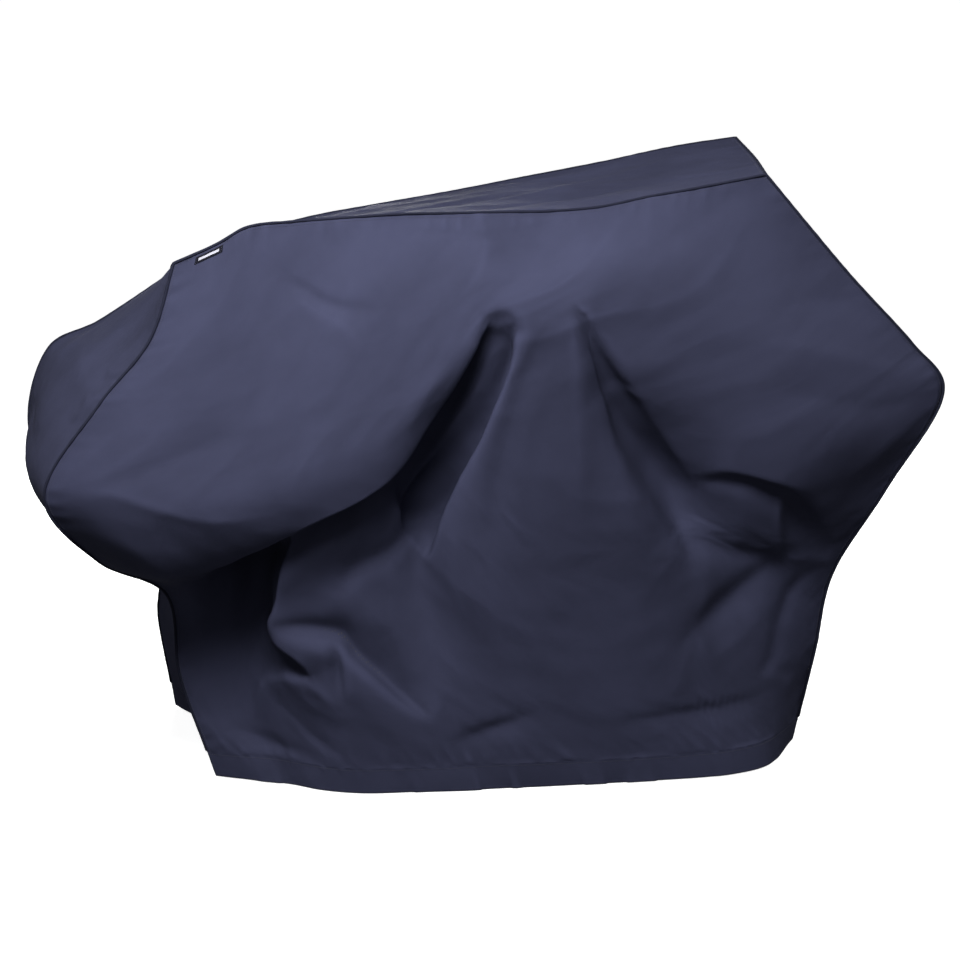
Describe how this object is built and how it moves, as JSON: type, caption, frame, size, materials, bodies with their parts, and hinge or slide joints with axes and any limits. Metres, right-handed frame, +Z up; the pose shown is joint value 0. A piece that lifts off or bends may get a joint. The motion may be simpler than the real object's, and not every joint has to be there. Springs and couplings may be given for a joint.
{
  "type": "grill cover",
  "caption": "Dark cloth rain cover draped over a wide cart grill: front and back panels joined by a gusset over the sides and top, with piped seams, a hem and a small label.",
  "frame": {"origin": "centre of the bounding box in plan, on the ground under the hem", "axes": "+X to the right as seen from the front, +Y to the back, +Z up"},
  "size_m": [1.6638, 0.708, 1.1477],
  "materials": {
    "cover_cloth": "matte woven polyester with a dry sheen",
    "hem_cloth": "the same cloth, folded double and stitched",
    "seam_piping": "tight woven piping",
    "woven_label": "satin woven label with a pale bar"
  },
  "bodies": {
    "root": {"front_panel": "cover_cloth", "back_panel": "cover_cloth", "left_gusset": "cover_cloth", "right_gusset": "cover_cloth", "top_gusset": "cover_cloth", "front_hem": "hem_cloth", "back_hem": "hem_cloth", "left_hem": "hem_cloth", "right_hem": "hem_cloth", "front_welt": "seam_piping", "back_welt": "seam_piping", "left_cross_seam": "seam_piping", "right_cross_seam": "seam_piping", "label": "woven_label"}
  },
  "joints": []
}
